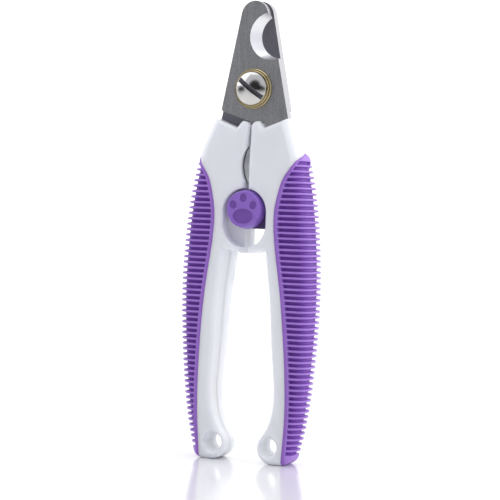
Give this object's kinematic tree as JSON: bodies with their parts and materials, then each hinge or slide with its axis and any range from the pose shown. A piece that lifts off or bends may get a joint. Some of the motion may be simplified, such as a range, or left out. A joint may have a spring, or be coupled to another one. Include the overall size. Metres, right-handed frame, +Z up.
{
  "type": "pet nail trimmer",
  "caption": "Plier-type pet nail clipper: notched steel blades cross on a domed screw above white handles with ribbed purple soft grips, a leaf spring and a sliding lock button.",
  "frame": {"origin": "middle of the plane of the two feet, under the pivot", "axes": "+Z up the trimmer from the feet to the blade tips, +X towards the handle that holds the front blade, -Y out of the front face"},
  "size_m": [0.0488, 0.0166, 0.156],
  "materials": {
    "blade_steel": "stainless steel, fine grinding lines along the blade, polished bevel",
    "nickel": "polished nickel plate",
    "brass": "turned brass, bright edges",
    "spring_steel": "dark tempered strip",
    "screw_steel": "zinc plated",
    "white_plastic": "moulded, satin gloss",
    "purple_grip": "soft thermoplastic rubber, matt, with cross ribs",
    "purple_plastic": "moulded, satin"
  },
  "bodies": {
    "left_half": {"rear_blade": "blade_steel", "left_handle_front": "white_plastic", "left_handle_rear": "white_plastic", "left_grip": "purple_grip", "left_tang_pins": "screw_steel", "left_handle_screws": "screw_steel", "pivot_bush": "brass", "pivot_washer": "brass", "pivot_screw": "nickel", "pivot_spring_washer": "spring_steel", "pivot_nut": "nickel"},
    "right_half": {"front_blade": "blade_steel", "right_handle_front": "white_plastic", "right_handle_rear": "white_plastic", "right_grip": "purple_grip", "right_tang_pins": "screw_steel", "right_handle_screws": "screw_steel", "leaf_spring": "spring_steel"},
    "lock": {"lock_button": "purple_plastic", "lock_plate": "purple_plastic", "lock_rear_cap": "purple_plastic", "lock_rivet": "screw_steel"}
  },
  "joints": [
    {"name": "handle_pivot", "type": "hinge", "parent": "left_half", "child": "right_half", "pos_m": [0, 0, 0.1263], "axis": [0, -1, 0], "range_deg": [0, 25]},
    {"name": "lock_slide", "type": "slide", "parent": "left_half", "child": "lock", "axis": [0, 0, -1], "range_m": [0, 0.0055]}
  ]
}
